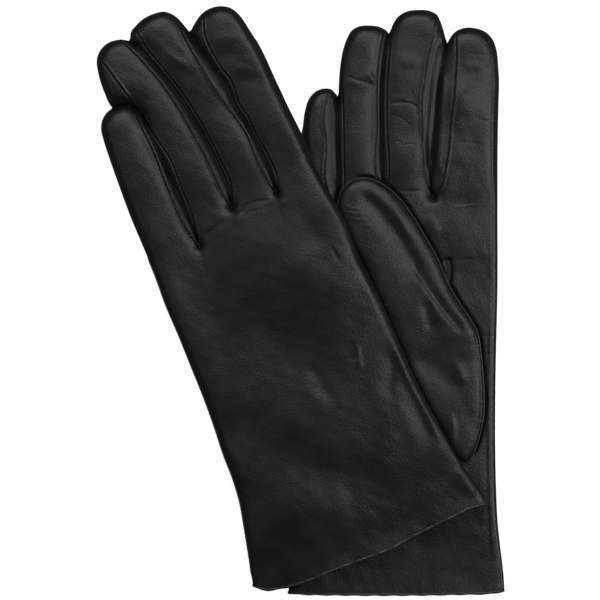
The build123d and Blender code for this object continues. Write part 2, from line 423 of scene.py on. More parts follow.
def wrap(rows, sides, closed=False):
    """Triangles of a skin over rings of points, which all have the same number of sides."""
    tris = []
    for i in range(rows if closed else rows - 1):
        j = (i + 1) % rows
        for k in range(sides):
            m = (k + 1) % sides
            a, b, c, d = i * sides + k, i * sides + m, j * sides + m, j * sides + k
            tris += [(a, b, c), (a, c, d)]
    return np.array(tris)


def tube(path, radius, sides=8, closed=False):
    """Points and triangles of a round cord along the path."""
    along = unit(np.gradient(path, axis=0))
    if closed:
        along = unit(np.roll(path, -1, axis=0) - np.roll(path, 1, axis=0))
    across = unit(np.cross(along, [0.0, 0.0, 1.0]))
    up = np.cross(across, along)
    turn = np.linspace(0, 2 * math.pi, sides, endpoint=False)
    radius = np.broadcast_to(np.asarray(radius, float), (len(path),))
    co = path[:, None] + radius[:, None, None] * (
        np.cos(turn)[None, :, None] * across[:, None] + np.sin(turn)[None, :, None] * up[:, None])
    return co.reshape(-1, 3), wrap(len(path), sides, closed)[:, ::-1]


# ---------------------------------------------------------------- materials

class Look:
    """A procedural material under way: its nodes, all placed by the leather's place at rest."""

    def __init__(self, name):
        self.material = bpy.data.materials.new(name)
        self.material.use_nodes = True
        self.nodes, self.links = self.material.node_tree.nodes, self.material.node_tree.links
        self.shader = self.nodes["Principled BSDF"]
        self.place = self.nodes.new("ShaderNodeAttribute")
        self.place.attribute_name = "rest_place"
        self.last_bump = None

    def texture(self, kind, **inputs):
        """A texture node with these inputs."""
        node = self.nodes.new(kind)
        for name, value in inputs.items():
            node.inputs[name].default_value = value
        self.links.new(self.place.outputs["Vector"], node.inputs["Vector"])
        return node

    def noise(self, scale, detail=3.0, rough=0.55):
        return self.texture("ShaderNodeTexNoise", Scale=scale, Detail=detail, Roughness=rough)

    def colour(self, source, tone, start, end):
        """Shades the base colour between two tones, each given as (position, share of the tone)."""
        shade = self.nodes.new("ShaderNodeValToRGB")
        for element, (position, share) in zip(shade.color_ramp.elements, (start, end)):
            element.position = position
            element.color = (*[c * share for c in tone], 1.0)
        self.links.new(source.outputs["Fac"], shade.inputs["Fac"])
        self.links.new(shade.outputs["Color"], self.shader.inputs["Base Color"])

    def bump(self, source, socket, distance):
        """Fine relief over the relief so far. A texture's Distance is inverted, so that its cells stand up."""
        bump = self.nodes.new("ShaderNodeBump")
        bump.inputs["Strength"].default_value = 1.0
        bump.inputs["Distance"].default_value = distance * MM
        bump.invert = socket == "Distance"
        self.links.new(source.outputs[socket], bump.inputs["Height"])
        if self.last_bump:
            self.links.new(self.last_bump.outputs["Normal"], bump.inputs["Normal"])
        self.links.new(bump.outputs["Normal"], self.shader.inputs["Normal"])
        self.last_bump = bump


def leather(name, tone, roughness, grain):
    """Soft dyed nappa: fine pebbled grain, faint mottling and a satin finish."""
    look = Look(name)
    look.shader.inputs["IOR"].default_value = 1.47
    look.colour(look.noise(90.0, 4.0), tone, (0.3, 0.75), (0.72, 1.3))

    gloss = look.nodes.new("ShaderNodeMapRange")
    gloss.inputs["From Min"].default_value = 0.3
    gloss.inputs["From Max"].default_value = 0.7
    gloss.inputs["To Min"].default_value = roughness - 0.05
    gloss.inputs["To Max"].default_value = roughness + 0.06
    look.links.new(look.noise(45.0).outputs["Fac"], gloss.inputs["Value"])
    look.links.new(gloss.outputs["Result"], look.shader.inputs["Roughness"])

    pebbles = look.texture("ShaderNodeTexVoronoi", Scale=1250.0)
    pebbles.feature = "SMOOTH_F1"
    pebbles.inputs["Smoothness"].default_value = 0.6
    look.bump(look.noise(640.0, 5.0, 0.62), "Fac", 0.075 * grain)
    look.bump(pebbles, "Distance", 0.05 * grain)
    look.bump(look.noise(2600.0, 2.0), "Fac", 0.02 * grain)
    return look.material


def woven(name, tone, roughness, scale, distance):
    """Thread or knitted lining: matt, with a fine close texture."""
    look = Look(name)
    look.shader.inputs["Roughness"].default_value = roughness
    knit = look.texture("ShaderNodeTexWave", Scale=scale, Distortion=2.0)
    knit.bands_direction = "DIAGONAL"
    look.colour(knit, tone, (0.0, 0.6), (1.0, 1.3))
    look.bump(knit, "Fac", distance)
    return look.material


NAPPA = leather("black_nappa", (0.008, 0.008, 0.0083), 0.37, 1.15)
# A touch darker and rougher than the face leather: painted shade for the fourchettes down in the valleys
# between fingers. The thumb gussets use it too.
STRIP_PAINTED_SHADE = leather("black_nappa_fourchette_painted_shade", (0.0075, 0.0075, 0.0078), 0.4, 1.15)
# Much darker leather for the teardrop quirk: painted shade for the shadow in its hollow.
QUIRK_PAINTED_SHADE = leather("black_nappa_quirk_painted_shade", (0.005, 0.005, 0.0052), 0.5, 1.0)
# Much lighter leather for the cuff hem rolls, side seams, thumb edges and thumb-hole seam: a painted highlight
# along those rolled edges.
EDGE_PAINTED_HIGHLIGHT = leather("black_nappa_edge_painted_highlight", (0.028, 0.028, 0.029), 0.3, 0.9)
THREAD = woven("black_thread", (0.016, 0.016, 0.017), 0.6, 900.0, 0.05)
KNIT = woven("black_knit_lining", (0.02, 0.02, 0.021), 0.9, 500.0, 0.15)


# ---------------------------------------------------------------- a glove

def left_places(co):
    """How far along and across the turned left glove each place is."""
    return LEFT_COS * co[:, 1] - LEFT_SIN * co[:, 0], LEFT_COS * co[:, 0] + LEFT_SIN * co[:, 1]


def left_axes(across, along):
    """A point given across and along the turned left glove, in the frame's X and Y."""
    c, s = math.cos(LEFT_TURN), math.sin(LEFT_TURN)
    return (c * across - s * along, s * across + c * along)


class Glove:
    """Everything that shapes one glove.

    up and down name its upper and under face. A seam is (run it starts on, points, run it ends on). A hinge
    is a finger's root: (run, point, run, point). Seeds are points in each piece of leather, by its name.
    low(places) is the height of what the glove lies on. lift(places) gives the edge's height above that, the
    rise from the edge to the middle, how far inside the edge it takes, and the power that shapes it.
    """

    def __init__(self, side, up, down, runs, seams, hinges, seeds, low, lift, folds, swells):
        self.side, self.up, self.down = side, up, down
        self.seed = 11 + len(runs) + len(side)  # any number will do: it picks the unevenness
        self.plan = Plan(runs)
        self.seams, self.hinges, self.seeds = seams, hinges, seeds
        self.low, self.lift = low, lift
        self.folds, self.swells = folds, swells
        self.slits = [(points, *PINCH) for label, points in runs if label.startswith("slit")]

    def pinch(self, co):
        """How much higher the edges are where two fingers press together."""
        return relief(co, self.slits)

    def top(self, co, d):
        """The upper face's height at places this far inside the edge."""
        rim, rise, radius, power = self.lift(co)
        pinch = self.pinch(co)
        shape = relief(co, self.folds) + swelling(co, self.swells) + unevenness(co, self.seed)
        raised = (rise - pinch) * crown(d, radius) ** power
        return self.low(co) + rim + pinch + raised + shape * crown(d, 2.0)

    def bottom(self, co, d):
        """The under face's height."""
        rim = self.lift(co)[0] + self.pinch(co)
        return self.low(co) + rim - rim * crown(d, 7.0)

    def cuts(self, with_seams):
        """Lines that the mesh is cut along: the finger roots, and on the upper face the seams."""
        plan, out = self.plan, []
        for left_run, left_point, right_run, right_point in self.hinges.values():
            a, b = plan.corner(left_run, left_point), plan.corner(right_run, right_point)
            line = smooth_line([plan.loop[a], plan.loop[b]], 0.8)
            out.append((a, line[1:-1], b))
        if with_seams:
            for start_run, points, end_run in self.seams:
                line = smooth_line(points, 0.8)
                a, b = plan.corner(start_run, line[0]), plan.corner(end_run, line[-1])
                inner = line[2:-2]
                inner = inner[apart(inner, plan.tree, 0.3)]
                out.append((a, inner, b))
        return out

    def face(self, upper):
        """One face: points, triangles, the piece each triangle is in, depths, normals and edge numbers."""
        rows = fold_rows(self.folds) if upper else ()
        co, tris, edge = self.plan.mesh(GRID if upper else COARSE, self.cuts(upper), rows)
        region = self.plan.regions(tris)
        d = self.plan.depth(co, (edge >= 0) & ~self.plan.open_edge[edge])
        z = self.top(co, d) if upper else self.bottom(co, d)
        solid = np.column_stack([co, z])
        middle = co[tris].mean(1)
        names = {}
        for name, points in self.seeds.items():
            if upper or "fourchette" not in name:
                for point in points:
                    names[region[np.linalg.norm(middle - np.array(point), axis=1).argmin()]] = name
        for stray in set(region.tolist()) - set(names):
            known = np.isin(region, list(names))
            near = np.linalg.norm(middle[known] - middle[region == stray].mean(0), axis=1).argmin()
            names[stray] = names[region[known][near]]
        label = np.array([names[r] for r in region])
        if not upper:
            tris = tris[:, ::-1]
        return solid, tris, label, d, vertex_normals(solid, tris), edge


def build(glove):
    """Makes a glove's leather pieces from its two faces. Returns them by CAD node, and the under face."""
    upper, under = glove.face(True), glove.face(False)
    shared = np.zeros((len(glove.plan.loop), 3))
    move = glove.plan.press()
    for solid, _, _, _, normals, rim in (upper, under):
        solid[rim >= 0] += move[rim[rim >= 0]]
        np.add.at(shared, rim[rim >= 0], normals[rim >= 0])
    pieces = {}
    for (solid, tris, label, _, normals, rim), way in ((upper, glove.up), (under, glove.down)):
        sealed = (rim >= 0) & ~glove.plan.open_edge[np.maximum(rim, 0)]
        normals[sealed] = shared[rim[sealed]]
        for name in np.unique(label):
            node = f"{glove.side}_{name}"
            if not name.split("_", 1)[-1].startswith("fourchette"):
                node += f"_{way}"
            # fourchettes take the darker leather, painted shade of the valleys between fingers
            material = STRIP_PAINTED_SHADE if "fourchette" in name else NAPPA
            chosen = tris[label == name]
            pieces[node] = make_piece(node + "_leather", solid, chosen, material, normals=normals)
    return pieces, under


def attach(piece, glove, digit):
    """Rides the hand. A finger's piece gets no body: its hinge points are looked up and its transform is baked
    in.
    """
    hand = f"{glove.side}_hand"
    if digit == "hand":
        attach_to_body(piece, hand)
        return
    _, a, _, b = glove.hinges[digit]
    a, b = np.array(a), np.array(b)
    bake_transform(piece)


def seam_folds(seams):
    """A seam's fine groove, and the leather standing up beside it on the finger's face."""
    folds = []
    for _, points, end_run in seams:
        face = 1 if end_run.endswith("_up") else -1
        folds.append((points, -0.5, 0.38, 0.38, 3.0))
        folds.append((shifted(points, BESIDE * face), 0.22, 0.5, 0.5, 3.0))
    return folds


# ---------------------------------------------------------------- left glove, back up

def drape(co):
    """How high the left glove's underside is: on the floor at its left, over the right glove at its right."""
    along, _ = left_places(co)
    over_thumbs = ramp((along + 112) / 30) * (1 - ramp((along - 28) / 32))
    return ramp((co[:, 0] + 55) / 75) * (9.6 + 2.9 * over_thumbs)


def left_shape(co):
    """The left glove's lift: see Glove."""
    along, across = left_places(co)
    finger = ramp((along - 40) / 30)
    cuff = 1 - ramp((along + 122) / 70)
    radius = (5.4 - 2.6 * ramp((across - 2) / 16)) * (1 - finger) + 3.6 * finger
    return 3.0 - 0.6 * cuff, 4.8 + 0.9 * finger - 2.2 * cuff, radius, 1 + finger


LEFT_RUNS = [
    ("little_edge", [(-21.2, -127.8), (-21.8, -123.3), (-22.5, -117.9), (-23.6, -110.7), (-25, -102.2),
        (-27, -90.9), (-30.2, -80.1), (-34.2, -69.8), (-38.7, -56.2), (-43.6, -42.8), (-49.1, -29.2),
        (-54.5, -15.8), (-60.3, -2.2), (-65.2, 11.2), (-70.9, 24.8), (-76.5, 38.2), (-81.5, 51.8),
        (-86.2, 65.2), (-88.5, 72.5), (-89.4, 76.5), (-89, 80.5), (-87.3, 83.7), (-84.6, 86),
        (-81, 87.3), (-77.2, 87.4), (-73.8, 85.6), (-71.2, 82.6)]),
    ("slit_little_ring", [(-70.6, 82), (-68.4, 77.4), (-64.4, 68.4), (-60.3, 59.4), (-55.8, 49.5),
        (-51.3, 39.6), (-46.8, 28.8), (-45, 23.4)]),
    ("ring_tip", [(-70.8, 83.2), (-73.5, 86), (-77, 87.8), (-81, 87.6), (-84.2, 86.5),
        (-86, 88.7), (-87.5, 92.2), (-88.8, 95.4), (-90.1, 99.5), (-91, 103.5), (-91.4, 106.7),
        (-91.1, 109.4), (-90.2, 111.6), (-88.4, 113.9), (-86, 115.7), (-83.2, 116.7), (-80.5, 117.1),
        (-78.2, 116.8)]),
    ("slit_ring_middle", [(-76.9, 116.4), (-75.2, 115.2), (-71.1, 111.6), (-64.8, 104.4), (-58.5, 97.2),
        (-53.1, 90), (-47.7, 81), (-42.3, 72), (-36.9, 61.2), (-32.4, 50.4), (-30.6, 41.4)]),
    ("middle_tip", [(-76.4, 117.6), (-76, 120.4), (-73.8, 123.3), (-70.2, 126.5), (-65.7, 128.7),
        (-60.8, 129.6), (-56.7, 128), (-53.6, 125.3), (-51.2, 122.4)]),
    ("slit_middle_index", [(-49.9, 120.6), (-48.4, 117.9), (-44.1, 111.6), (-38.7, 104.4), (-33.3, 96.3),
        (-28.8, 86.4), (-23.4, 77.4), (-18, 67.5), (-13.5, 57.6), (-10.3, 47.2)]),
    ("index_edge", [(-48.9, 121.4), (-47, 124.9), (-44.1, 128.7), (-40.5, 131), (-36, 132),
        (-31.5, 131.3), (-27.9, 128.7), (-25.2, 125.3), (-22.5, 121), (-18, 113.9), (-15.3, 108.5),
        (-11.7, 100.4), (-8.1, 92.7), (-4.5, 85), (-0.9, 77.9), (2.2, 71.1), (6.3, 61.2), (10.8, 51.8),
        (15.3, 44.1), (18.9, 37.8), (25.2, 22.5), (34.2, 4), (43.2, -16.2), (54, -40.5),
        (63.9, -58.5), (71.1, -71.5), (75.6, -77.9), (80.1, -84.2), (83.5, -89.3)]),
    ("cuff", [(83.5, -89.3), (81, -91.6), (76.5, -92.9), (70.2, -95.9), (63.9, -99), (51.3, -105.3),
        (39.6, -111.6), (27, -116.3), (14.4, -121), (2.7, -125.8), (-9, -128.9), (-16.2, -129.6),
        (-21.2, -127.8)]),
]
LEFT_SEAMS = [
    ("index_edge", [(-43.5, 129.5), (-43.5, 123.5), (-43, 119), (-41.5, 114.5), (-38.5, 109),
        (-35, 103.5), (-31.5, 99), (-29.5, 94.5), (-27.5, 88), (-23.5, 82), (-20, 74.5), (-16, 67.5),
        (-12.5, 60.5), (-10, 53), (-10.3, 47.2)], "slit_middle_index_up"),
    ("middle_tip", [(-57.5, 129), (-54, 123.5), (-51.5, 118), (-47.5, 110.5), (-44, 104.5), (-40.5, 98),
        (-38, 94), (-33.5, 88), (-28, 81), (-23.5, 74), (-20, 65), (-16, 56.5), (-10.3, 47.2)],
        "slit_middle_index_down"),
    ("middle_tip", [(-74.5, 122.5), (-69.5, 113.5), (-62, 104.5), (-55, 95.5), (-47.5, 84.5), (-41.5, 74),
        (-36, 63), (-31.5, 53), (-30.6, 41.4)], "slit_ring_middle_up"),
    ("ring_tip", [(-80.5, 117.1), (-72, 109), (-63, 98.5), (-57, 90), (-52, 82), (-47, 73), (-42.5, 65),
        (-38.5, 56.5), (-35, 48.5), (-30.6, 41.4)], "slit_ring_middle_down"),
    ("ring_tip", [(-91, 108), (-87.5, 105), (-84.5, 101), (-79, 93.5), (-72, 84.5), (-65, 73),
        (-58.5, 63), (-54, 52), (-49.5, 40.5), (-45, 23.4)], "slit_little_ring_up"),
    ("little_edge", [(-74.5, 86), (-69.5, 75), (-65.8, 67.5), (-61.3, 56), (-57, 45), (-52, 34),
        (-45, 23.4)], "slit_little_ring_down"),
]
LEFT_HINGES = {
    "index": ("slit_middle_index_up", left_axes(13, 61), "index_edge", left_axes(33.6, 61)),
    "middle": ("slit_ring_middle_up", left_axes(-6.6, 61), "slit_middle_index_down", left_axes(12.4, 61)),
    "ring": ("slit_little_ring_up", left_axes(-26.8, 61), "slit_ring_middle_down", left_axes(-7.4, 61)),
    "little": ("little_edge", left_axes(-52.4, 48), "slit_little_ring_down", left_axes(-30.2, 48)),
}
LEFT_SEEDS = {
    "hand": [(-10, -20)],
    "index": [(-25, 108)],
    "middle": [(-60, 112)],
    "ring": [(-80, 105)],
    "little": [(-78, 68)],
    "index_fourchette": [(-34.1, 100)],
    "middle_fourchette": [(-39, 100), (-59.8, 100)],
    "ring_fourchette": [(-61.6, 98.9), (-86, 94), (-59.3, 60.4)],
    "little_fourchette": [(-60.3, 56.5)],
    "hand_fourchette_middle_index": [(-13.7, 54.5), (-11.1, 54.5)],
    "hand_fourchette_ring_middle": [(-33, 49.5), (-31.3, 49.5)],
    "hand_fourchette_little_ring": [(-47.05, 27.35), (-48.95, 36.2)],
}
LEFT_FOLDS = seam_folds(LEFT_SEAMS) + [
    # below the crotches
    ([(-45.5, 23.5), (-43, 16), (-40.5, 7)], -0.25, 0.9, 1.8, 5.0),
    ([(-30.5, 38), (-27, 41), (-22.5, 43), (-17, 44.5), (-11.5, 45)], -0.23, 0.8, 1.3, 4.0),
    ([(-22.5, 40), (-19, 40.5), (-15.5, 41.5), (-12.5, 43.5)], -0.12, 0.6, 1.0, 3.0),
    ([(-44, 28), (-38, 32.5), (-31.5, 38)], -0.19, 1.0, 1.6, 4.0),
    ([(-10, 43.5), (-8.5, 39), (-6, 34)], -0.14, 0.8, 1.6, 4.0),
    ([(-10, 49), (-8, 45), (-7, 41)], 0.25, 1.2, 2.0, 3.0),
    ([(-29, 43), (-27.5, 38), (-28, 34)], 0.22, 1.4, 2.0, 3.0),
    ([(-3.5, 45), (0, 39.5), (5.5, 31.5), (12.5, 22.5)], -0.45, 3.2, 5.0, 8.0),
    # creases over the heel of the hand and along the index side
    ([(13.5, 25), (16, 20.5), (17.5, 16)], -0.22, 0.7, 1.2, 3.0),
    ([(24, -18), (25.6, -23), (26.6, -28), (27.5, -33)], 0.4, 1.3, 3.4, 6.0),
    ([(22.5, -17), (24, -24), (24.5, -30)], -0.35, 1.6, 4.0, 5.0),
    ([(40.5, -22), (41, -32), (39.5, -45)], -0.45, 1.6, 4.2, 8.0),
    ([(3, -25), (9, -36), (17, -48)], -0.5, 2.2, 3.6, 8.0),
    ([(-28, -36), (-24, -46), (-20, -54)], 0.35, 3.0, 2.0, 6.0),
    ([(41, -14), (47, -28), (56, -46), (65.5, -65.5)], 0.45, 2.6, 3.4, 12.0),
    ([(37.5, -16), (43, -30), (52, -48), (61, -66)], -0.5, 2.0, 4.5, 12.0),
    ([(70, -74), (76, -82), (80, -88)], 0.5, 1.6, 3.6, 4.0),
    # over the fingers
    ([(-41, 113.5), (-34, 117.5), (-27, 116)], 0.34, 2.6, 3.2, 5.0),
    ([(-39, 108), (-31, 110), (-24, 108)], -0.26, 2.0, 2.6, 5.0),
    ([(-31, 103), (-25, 104), (-19.5, 101)], 0.22, 1.5, 2.5, 4.0),
    ([(-28, 97), (-22, 98.5), (-14, 97)], -0.22, 2.4, 3.0, 5.0),
    ([(-60, 121), (-54, 116), (-50, 110)], 0.34, 3.0, 3.2, 5.0),
    ([(-63, 113), (-57, 109), (-50, 103)], 0.22, 2.0, 2.6, 5.0),
    ([(-58, 106), (-52, 102), (-46, 98)], -0.25, 1.8, 3.0, 5.0),
    ([(-52, 97), (-46, 94), (-41, 90)], 0.15, 1.6, 2.2, 4.0),
    ([(-72, 107), (-68, 103), (-64, 98)], 0.31, 2.6, 3.0, 4.0),
    ([(-80, 96), (-73, 92), (-65, 88)], -0.22, 1.6, 2.6, 5.0),
    ([(-77, 91), (-70, 88.5), (-62, 86)], 0.07, 1.2, 1.8, 4.0),
    ([(-85, 82), (-79, 78), (-72, 75)], 0.25, 5.0, 5.0, 5.0),
]
LEFT_SWELLS = [
    (-8, 17, 1.5, 36, 11, -24),  # the knuckles
    (-5, -23, -2.7, 26, 15, -38),  # the hollow behind them
    (-49, -20, 1.3, 38, 9, -68),  # down the little-finger side
    (8, -74, -1.7, 32, 10, -24),  # across the wrist
    (-6, -94, 1.0, 22, 8, -50),
    (52, -90, 0.7, 20, 7, 25),
]
LEFT = Glove("left", "back", "palm", LEFT_RUNS, LEFT_SEAMS, LEFT_HINGES, LEFT_SEEDS, drape, left_shape,
             LEFT_FOLDS, LEFT_SWELLS)


# ---------------------------------------------------------------- right glove, palm up

def on_floor(co):
    return np.zeros(len(co))


def right_shape(co):
    """The right glove's lift: see Glove."""
    finger = ramp((co[:, 1] - 40) / 25)
    cuff = 1 - ramp((co[:, 1] + 130) / 60)
    radius = (5.0 - 2.6 * ramp((co[:, 0] - 50) / 25)) * (1 - finger) + 3.4 * finger
    return 2.8 - 0.5 * cuff, 4.6 + 0.9 * finger - 1.9 * cuff, radius, 1 + finger


RIGHT_RUNS = [
    ("little_edge", [(-5.4, -131.4), (-3.6, -122.4), (-0.5, -104.4), (1.6, -81), (2.5, -54),
        (2.2, -18), (1.4, 18), (0.9, 45), (0.5, 63), (0.6, 72), (1.4, 79.2), (2.2, 85),
        (3.8, 90), (6.3, 93.2), (10.3, 95), (14, 94.7), (16.2, 92.6)]),
    ("slit_little_ring", [(16.9, 91.4), (16.9, 81), (17.1, 67.5), (17.3, 54), (17.6, 42.3)]),
    ("ring_tip", [(17.3, 93), (17.6, 99.9), (18.4, 107.5), (19.5, 113), (21.2, 117.7), (23.4, 121.3),
        (26.6, 123), (31.5, 123.4), (36, 122.7), (38.7, 121.3)]),
    ("slit_ring_middle", [(39.9, 119.6), (38.7, 114.3), (37.8, 107.1), (36.9, 98.1), (36.5, 88.2),
        (36.7, 72), (37.4, 52.2), (37.8, 47.7)]),
    ("middle_tip", [(40.6, 121), (42, 124.4), (44.1, 127.4), (47.7, 129.6), (53.1, 130.4),
        (58.5, 129.9), (61.6, 128.2), (63.2, 125.1), (64.4, 121.5), (65.4, 117.8)]),
    ("slit_middle_index", [(66.1, 115.2), (64.4, 108), (62.6, 99), (61.6, 91.8), (60.8, 81),
        (59.9, 72), (59.2, 63), (58.7, 54), (59, 49.1), (60.3, 45.5)]),
    ("index_edge", [(66.8, 116.6), (67.8, 118.4), (70.4, 121), (73.8, 122.3), (79.2, 122.1),
        (83.7, 120.3), (86.7, 117), (88.3, 112.5), (89.1, 105.3), (89.5, 97.2), (89.3, 90),
        (88.9, 72), (88.8, 45), (88.7, 0), (88.2, -20.2), (87.8, -45), (87.8, -67.5),
        (88.2, -85.5), (89.1, -102.6), (90, -110.7), (90.9, -117.9), (91.6, -124.7), (91.9, -130.5)]),
    ("cuff", [(91.9, -130.5), (85.5, -131.4), (72, -131.8), (45, -132.2), (18, -132.1),
        (1.8, -131.8), (-5.4, -131.4)]),
]
RIGHT_SEAMS = [
    ("little_edge", [(14, 94.5), (11.5, 88), (10.5, 79), (11.5, 73), (11.5, 66.5), (11, 54), (14.5, 45),
        (17.6, 42.3)], "slit_little_ring_down"),
    ("ring_tip", [(20, 115), (19.2, 105.5), (18.8, 99), (19.2, 85.5), (19.6, 63), (19.5, 50.5),
        (17.6, 42.3)], "slit_little_ring_up"),
    ("ring_tip", [(38.5, 121.5), (37, 115.5), (35.8, 108), (35, 99), (34.9, 92), (35, 77.5), (34.6, 56),
        (37.8, 47.7)], "slit_ring_middle_down"),
    ("middle_tip", [(41, 121.5), (39.6, 108), (38.9, 97), (38.7, 81), (39.1, 72), (39.2, 53),
        (37.8, 47.7)], "slit_ring_middle_up"),
    ("middle_tip", [(62, 128), (60.5, 121.5), (58.5, 114.5), (57, 108), (56, 99), (54.7, 92),
        (54.5, 84.5), (55, 76.5), (55.6, 65), (56.8, 54), (60.3, 45.5)], "slit_middle_index_down"),
    ("index_edge", [(71, 121.5), (70, 118), (70, 112.5), (70, 106), (69.5, 99), (69, 92), (67.5, 81),
        (66.5, 67.5), (65, 58.5), (63.5, 51.5), (60.3, 45.5)], "slit_middle_index_up"),
]
RIGHT_HINGES = {
    "index": ("slit_middle_index_up", (59.6, 57.6), "index_edge", (88.7, 57.6)),
    "middle": ("slit_ring_middle_up", (38.4, 57.6), "slit_middle_index_down", (58.8, 57.6)),
    "ring": ("slit_little_ring_up", (18, 57.6), "slit_ring_middle_down", (37.6, 57.6)),
    "little": ("little_edge", (1.1, 77.4), "slit_little_ring_down", (16.4, 77.4)),
}
RIGHT_SEEDS = {
    "hand": [(45, -20)],
    "index": [(80, 100)],
    "middle": [(48, 100)],
    "ring": [(28, 100)],
    "little": [(6, 84)],
    "index_fourchette": [(64.5, 92)],
    "middle_fourchette": [(58.5, 92), (38, 88)],
    "ring_fourchette": [(35.8, 88), (18, 88)],
    "little_fourchette": [(14, 84)],
    "hand_fourchette_middle_index": [(61.5, 54), (57.8, 54)],
    "hand_fourchette_ring_middle": [(38.4, 54), (36, 54)],
    "hand_fourchette_little_ring": [(18.5, 50), (14, 60)],
}
RIGHT_FOLDS = seam_folds(RIGHT_SEAMS) + [
    # little finger: puckers at the tip
    ([(15, 92), (11, 91.5), (6.5, 87.5)], -0.14, 0.6, 1.0, 3.0),
    ([(14, 89.5), (10, 87.5), (8, 83)], -0.13, 0.6, 1.0, 3.0),
    ([(13.5, 84.5), (11, 82), (9, 76.5)], 0.12, 0.9, 1.2, 3.0),
    # ring finger
    ([(19, 100.5), (23.5, 99.5), (26, 98.5), (29, 98), (31.5, 97), (34, 93.5)], -0.17, 0.6, 0.9, 3.0),
    ([(20, 98.7), (26, 97), (32, 94.5)], 0.08, 1.0, 2.2, 4.0),
    ([(30, 102.5), (32, 100), (33.5, 96.5)], 0.5, 1.2, 1.4, 3.0),
    ([(31, 58), (33, 55.5), (34, 52.5)], 0.5, 1.3, 1.5, 3.0),
    # middle finger
    ([(39, 88), (46, 88.7), (50.5, 88), (54, 84.5)], -0.15, 0.5, 0.8, 3.0),
    ([(40, 90), (46, 90.5), (51, 89.5)], 0.11, 1.4, 0.9, 3.0),
    ([(39.5, 84), (43, 82.5), (46, 81.5), (48.5, 79), (51, 77.5)], -0.10, 0.45, 0.7, 3.0),
    ([(41.5, 70.5), (45, 71), (46, 69.5), (47.5, 70), (53, 69.5)], -0.10, 0.4, 0.6, 3.0),
    ([(43, 50), (47.5, 49), (56, 49.5)], -0.12, 0.5, 0.8, 3.0),
    ([(44, 106), (49, 107), (54, 106)], 0.35, 3.0, 3.0, 4.0),
    # index finger: the soft fold that catches the light, and fine creases
    ([(64.3, 104), (63.8, 85), (62.7, 70), (61.3, 55)], 0.9, 1.5, 2.4, 6.0),
    ([(64, 118), (61, 104), (59, 88), (57.8, 72), (58, 56)], -1.3, 1.8, 1.5, 6.0),
    ([(73, 104), (78, 105), (83, 103)], 0.35, 2.0, 2.2, 3.0),
    ([(72, 96), (77, 94.5), (82, 96)], 0.25, 1.2, 1.6, 3.0),
    ([(84, 108), (85.5, 100), (85, 90)], -0.35, 1.6, 2.4, 5.0),
    ([(80.5, 118), (82.5, 115.5), (83, 113)], -0.12, 0.5, 0.8, 2.0),
    ([(75.5, 110.5), (79, 110.5), (84.5, 110)], -0.10, 0.45, 0.7, 2.0),
    ([(79, 81), (83.5, 80.5), (88, 79.5)], -0.12, 0.5, 0.8, 2.5),
    ([(69.5, 71.5), (76.5, 70.5), (84.5, 70)], -0.09, 0.5, 0.9, 4.0),
    # palm
    ([(67, 41.5), (72, 42), (82, 43)], 0.1, 0.5, 0.7, 4.0),
    ([(65, 40), (70, 41), (76, 42.5)], 0.09, 1.0, 2.0, 4.0),
    ([(68, 17), (71, 17.8), (75, 18.4), (79.5, 18.2)], -0.12, 0.6, 1.0, 4.0),
    ([(65.9, 19.5), (66.9, 14), (66.2, 7)], -2.0, 1.45, 1.45, 2.0),
    ([(79, 23), (82, 21), (85, 20)], 0.12, 2.0, 1.8, 3.0),
    ([(58, 40), (60, 34), (63, 28)], 0.3, 2.0, 3.0, 5.0),
    ([(80.5, -16), (83.5, -16), (87, -16.5)], -0.10, 0.4, 0.7, 2.0),
    # the palm pressed down all along the folded thumb's edge
    ([(23.6, 53.5), (27, 54.5), (30.6, 54.5), (34.6, 53.1), (39.6, 50.2), (45, 45), (50.4, 37.8),
        (55.8, 28.8), (61.2, 19.4), (67.5, 5.4), (72, -2.2), (76.9, -9.6), (79.4, -14.4), (80.7, -21.2),
        (81.5, -28.8), (82.2, -37.4), (82.5, -44.6), (82.2, -51.8), (81, -58.5), (79.2, -64.8),
        (76.8, -70.4)], -1.1, 1.15, 1.15, 5.0),
    # the soft ridge just inside the index edge, and the hollow beside it
    ([(86.3, 110), (86.2, 72), (86.2, 0), (85.4, -45), (85.8, -85.5), (87.6, -120)], 0.16, 0.8, 1.1,
        18.0),
    ([(84.6, -8), (83.6, -45), (84, -85), (85.5, -118)], -0.12, 0.7, 1.6, 14.0),
]
RIGHT_SWELLS = [
    (72.5, 90, 1.35, 7, 9, 0),  # below the index fingertip, where the light catches
    (48, 64, 0.7, 8, 9, 0),
    (27, 70, 0.6, 8, 14, 0),
    (73, 30, 0.8, 16, 10, -20),
    (70, -39, -2.0, 12, 4.5, 80),  # the thumb hole, under the thumb
]
RIGHT = Glove("right", "palm", "back", RIGHT_RUNS, RIGHT_SEAMS, RIGHT_HINGES, RIGHT_SEEDS, on_floor,
              right_shape, RIGHT_FOLDS, RIGHT_SWELLS)


# ---------------------------------------------------------------- hems, linings, side seams and stitches

def put(name, co, tris, material, body, node=None, slot="leather"):
    """A piece that rides one body, and stands for a CAD node."""
    piece = make_piece(name, co, tris, material, slot)
    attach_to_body(piece, body)
    if node:
        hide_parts(node)


def near_cuff(glove, places, gap):
    return nearest(places, glove.plan.loop[glove.plan.open_edge])[0] < gap


def height_at(glove, places, upper=True):
    """The face's height at the places, where an edge point counts as the edge itself."""
    on_edge = ~apart(places, glove.plan.tree, 0.01) & ~near_cuff(glove, places, 0.02)
    d = glove.plan.depth(places, on_edge)
    return (glove.top if upper else glove.bottom)(places, d)


